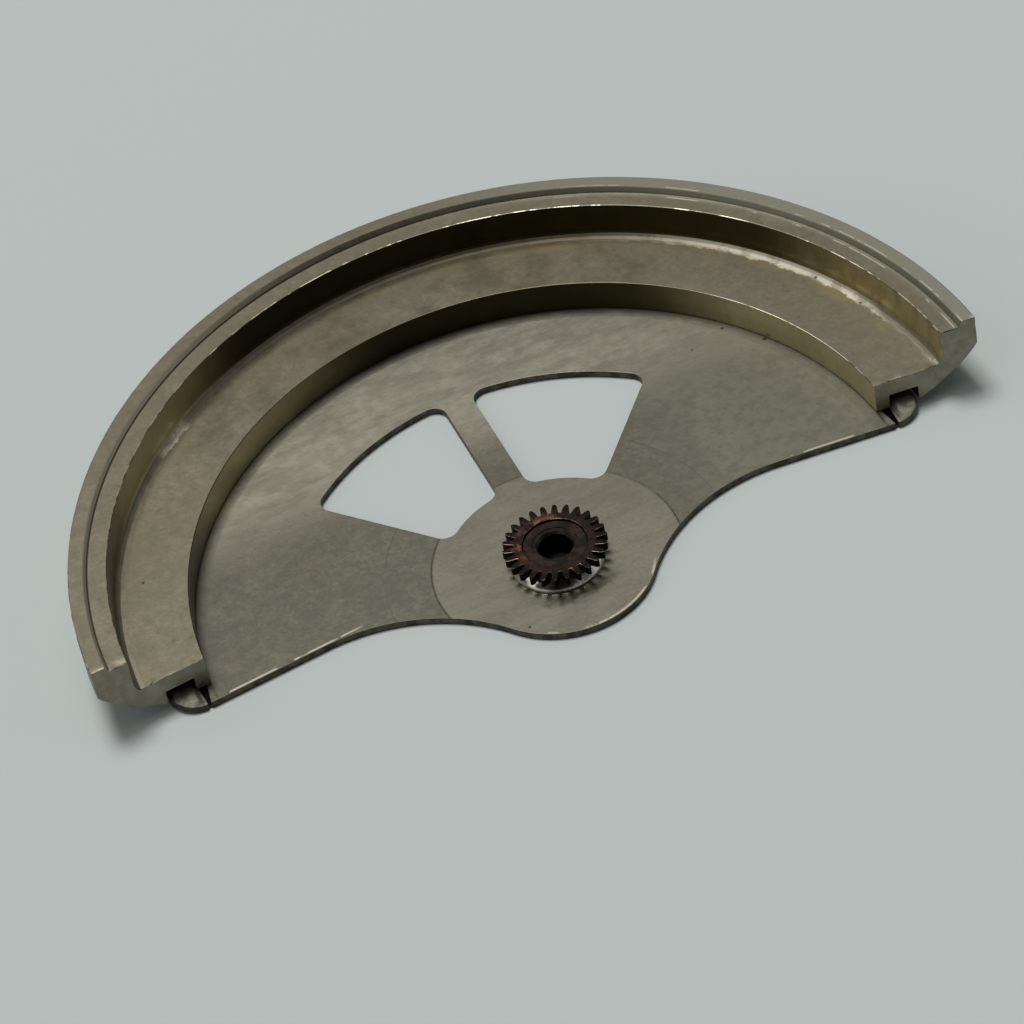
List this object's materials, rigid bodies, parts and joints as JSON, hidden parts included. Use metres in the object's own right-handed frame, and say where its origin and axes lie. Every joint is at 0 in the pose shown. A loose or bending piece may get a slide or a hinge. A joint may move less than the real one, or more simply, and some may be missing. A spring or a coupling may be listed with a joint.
{
  "type": "automatic watch rotor",
  "caption": "Half-disc winding rotor: a thin windowed plate with a heavy stepped half-ring weight, a riveted hub pipe and a fine toothed bronze pinion.",
  "frame": {"origin": "on the rotor's own axis, level with the decorated face of the plate, which is the lower face as the rotor lies", "axes": "+Z along the bore towards the movement, +Y from the bore to the middle of the half-ring weight, +X to the right"},
  "size_m": [0.0252, 0.0153, 0.0025],
  "materials": {
    "plate_nickel_silver": "dull satin nickel, mottled, with burnished edges",
    "weight_alloy": "turned and satin, stained near the cove",
    "rivet_steel": "filed flush",
    "hub_steel": "polished",
    "pinion_bronze": "tarnished bronze with dark oil in the gaps",
    "bush_bronze": "dark, worn smooth"
  },
  "bodies": {
    "root": {"rotor_plate": "plate_nickel_silver", "oscillating_weight": "weight_alloy", "weight_rivets": "rivet_steel", "hub_pipe": "hub_steel", "rotor_pinion": "pinion_bronze", "bearing_bush": "bush_bronze"}
  },
  "joints": []
}
